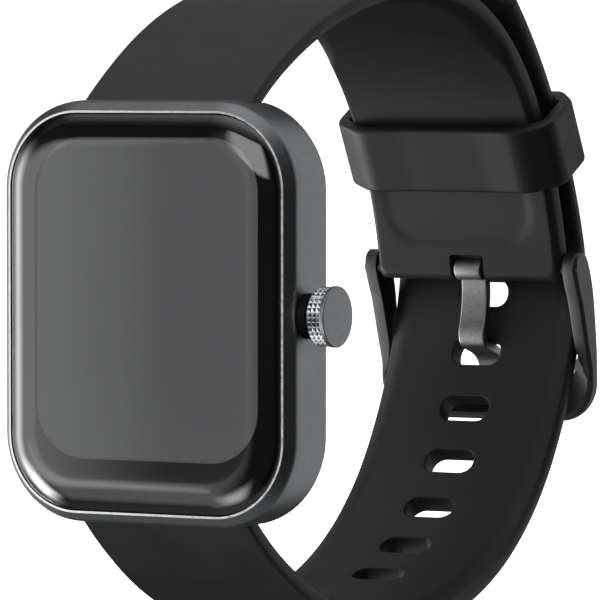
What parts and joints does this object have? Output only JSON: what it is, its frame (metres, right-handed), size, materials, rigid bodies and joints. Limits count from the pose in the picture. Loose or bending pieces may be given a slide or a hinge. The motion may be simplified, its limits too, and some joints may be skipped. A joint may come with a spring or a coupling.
{
  "type": "smartwatch",
  "caption": "Square wristwatch computer with curved glass, turning push crown, silicone strap, sliding keeper and pin buckle, fastened as a loop.",
  "frame": {"origin": "centre of the heart-rate sensor window's outer face, the part that touches the wrist", "axes": "+X towards the crown, +Y from the case into the wrist loop, +Z towards twelve o'clock; the glass faces -Y"},
  "size_m": [0.0379, 0.0793, 0.0714],
  "materials": {
    "case_metal": "fine bead-blasted anodised gunmetal grey",
    "crown_metal": "turned and knurled, bright",
    "crown_cap_metal": "matte anodised grey",
    "glass": "polished curved cover glass",
    "black_print": "black ink seen through the glass",
    "adhesive": "matte foam adhesive",
    "display": "dark screen that is off",
    "white_film": "white light guide",
    "flex_film": "amber polyimide film",
    "black_plastic": "fine-textured moulded plastic",
    "circuit_board": "green solder mask",
    "tin_plate": "tin-plated sheet",
    "chip_plastic": "moulded chip packages",
    "battery_foil": "crinkled foil pouch",
    "small_steel": "machined steel",
    "spring_steel": "drawn wire",
    "seal_rubber": "red silicone seal",
    "black_rubber": "black seal",
    "sensor_glass": "dark polished window",
    "led_white": "clear lamp packages",
    "gold_plate": "gold-plated contact",
    "magnet_nickel": "nickel plate",
    "switch_plastic": "moulded switch housing",
    "plunger_plastic": "moulded nylon",
    "silicone": "soft matte black silicone",
    "buckle_metal": "satin gunmetal plating"
  },
  "bodies": {
    "watch": {"case_frame": "case_metal", "cover_glass": "glass", "glass_border": "black_print", "glass_adhesive": "adhesive", "display_panel": "display", "backlight": "white_film", "display_flex": "flex_film", "inner_chassis": "black_plastic", "main_board": "circuit_board", "board_shield": "tin_plate", "board_chips": "chip_plastic", "battery": "battery_foil", "vibration_motor": "small_steel", "back_cover": "black_plastic", "back_gasket": "seal_rubber", "back_screws": "small_steel", "sensor_window": "sensor_glass", "sensor_board": "circuit_board", "sensor_leds": "led_white", "charging_pins": "gold_plate", "charging_magnets": "magnet_nickel", "crown_bushing": "black_plastic", "crown_switch": "switch_plastic", "upper_bar_tube": "small_steel", "upper_bar_tip": "small_steel", "upper_bar_spring": "spring_steel", "lower_bar_tube": "small_steel", "lower_bar_tip": "small_steel", "lower_bar_spring": "spring_steel", "strap_upper": "silicone", "strap_lower": "silicone", "buckle_bar": "small_steel"},
    "crown_slide": {"crown_plunger": "plunger_plastic"},
    "crown": {"crown_knob": "crown_metal", "crown_cap": "crown_cap_metal", "crown_stem": "small_steel", "crown_seal": "black_rubber", "crown_clip": "small_steel"},
    "upper_release": {"upper_release_pin": "small_steel"},
    "lower_release": {"lower_release_pin": "small_steel"},
    "keeper": {"keeper": "silicone"},
    "buckle_frame": {"buckle_frame": "buckle_metal"},
    "buckle_tongue": {"buckle_tongue": "buckle_metal"}
  },
  "joints": [
    {"name": "crown_press", "type": "slide", "parent": "watch", "child": "crown_slide", "axis": [-1, 0, 0], "range_m": [0, 0.0004], "stiffness_N_per_m": 6000, "springref_m": -0.0002},
    {"name": "crown_spin", "type": "hinge", "parent": "crown_slide", "child": "crown", "pos_m": [0.0188, -0.00653, 0], "axis": [1, 0, 0], "continuous": true},
    {"name": "upper_release_slide", "type": "slide", "parent": "watch", "child": "upper_release", "axis": [-1, 0, 0], "range_m": [0, 0.0012], "stiffness_N_per_m": 900, "springref_m": -0.0006, "deforming": ["upper_bar_spring"]},
    {"name": "lower_release_slide", "type": "slide", "parent": "watch", "child": "lower_release", "axis": [1, 0, 0], "range_m": [0, 0.0012], "stiffness_N_per_m": 900, "springref_m": -0.0006, "deforming": ["lower_bar_spring"]},
    {"name": "keeper_slide", "type": "hinge", "parent": "watch", "child": "keeper", "pos_m": [0, 0.0284, 0], "axis": [1, 0, 0], "range_deg": [-4, 8]},
    {"name": "buckle_swing", "type": "hinge", "parent": "watch", "child": "buckle_frame", "pos_m": [0, 0.0621, 0.0023], "axis": [1, 0, 0], "range_deg": [-3, 0]},
    {"name": "tongue_lift", "type": "hinge", "parent": "watch", "child": "buckle_tongue", "pos_m": [0, 0.0621, 0.0023], "axis": [1, 0, 0], "range_deg": [0, 3]}
  ]
}
